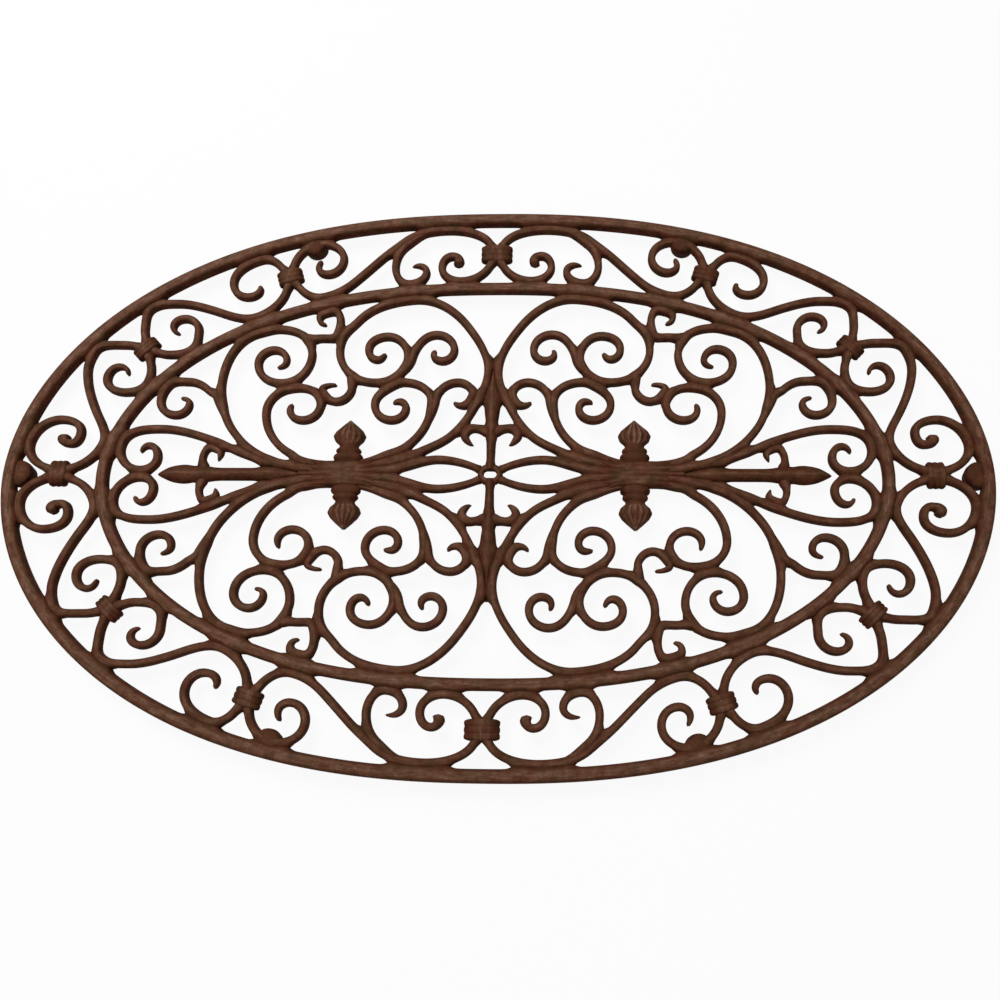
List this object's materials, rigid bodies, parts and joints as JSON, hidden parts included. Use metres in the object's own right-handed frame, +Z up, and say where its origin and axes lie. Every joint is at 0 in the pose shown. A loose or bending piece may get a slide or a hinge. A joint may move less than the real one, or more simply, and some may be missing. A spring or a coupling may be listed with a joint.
{
  "type": "boot scraper mat",
  "caption": "Oval cast iron boot scraper mat: two oval rings joined by scrollwork, with hubs, finials and collars, on low round feet.",
  "frame": {"origin": "middle of the mat's plan, on the floor under its feet", "axes": "+X along the mat's length, +Y along its width, +Z up"},
  "size_m": [0.713, 0.424, 0.0177],
  "materials": {
    "iron": "dark brown rusted sand-cast skin, a little paler on the worn upper edges"
  },
  "bodies": {
    "root": {"outer_ring": "iron", "inner_ring": "iron", "tendrils": "iron", "crown_curls": "iron", "axis_curls": "iron", "side_curls": "iron", "tail_hooks": "iron", "spine_hooks": "iron", "upper_links": "iron", "lower_links": "iron", "lens_bars": "iron", "hub_e": "iron", "hub_w": "iron", "spear_e": "iron", "spear_w": "iron", "eye": "iron", "spine": "iron", "collars_long": "iron", "collars_shoulder": "iron", "collars_corner": "iron", "collars_end": "iron", "feet": "iron", "border_long_ne": "iron", "border_long_nw": "iron", "border_long_sw": "iron", "border_long_se": "iron", "border_shoulder_ne": "iron", "border_shoulder_nw": "iron", "border_shoulder_sw": "iron", "border_shoulder_se": "iron", "border_end_ne": "iron", "border_end_nw": "iron", "border_end_sw": "iron", "border_end_se": "iron", "crown_ne": "iron", "crown_nw": "iron", "crown_sw": "iron", "crown_se": "iron", "inner_lobe_ne": "iron", "inner_lobe_nw": "iron", "inner_lobe_sw": "iron", "inner_lobe_se": "iron", "outer_lobe_ne": "iron", "outer_lobe_nw": "iron", "outer_lobe_sw": "iron", "outer_lobe_se": "iron", "side_ne": "iron", "side_nw": "iron", "side_sw": "iron", "side_se": "iron", "tail_ne": "iron", "tail_nw": "iron", "tail_sw": "iron", "tail_se": "iron", "finial_ne": "iron", "finial_nw": "iron", "finial_sw": "iron", "finial_se": "iron"}
  },
  "joints": []
}
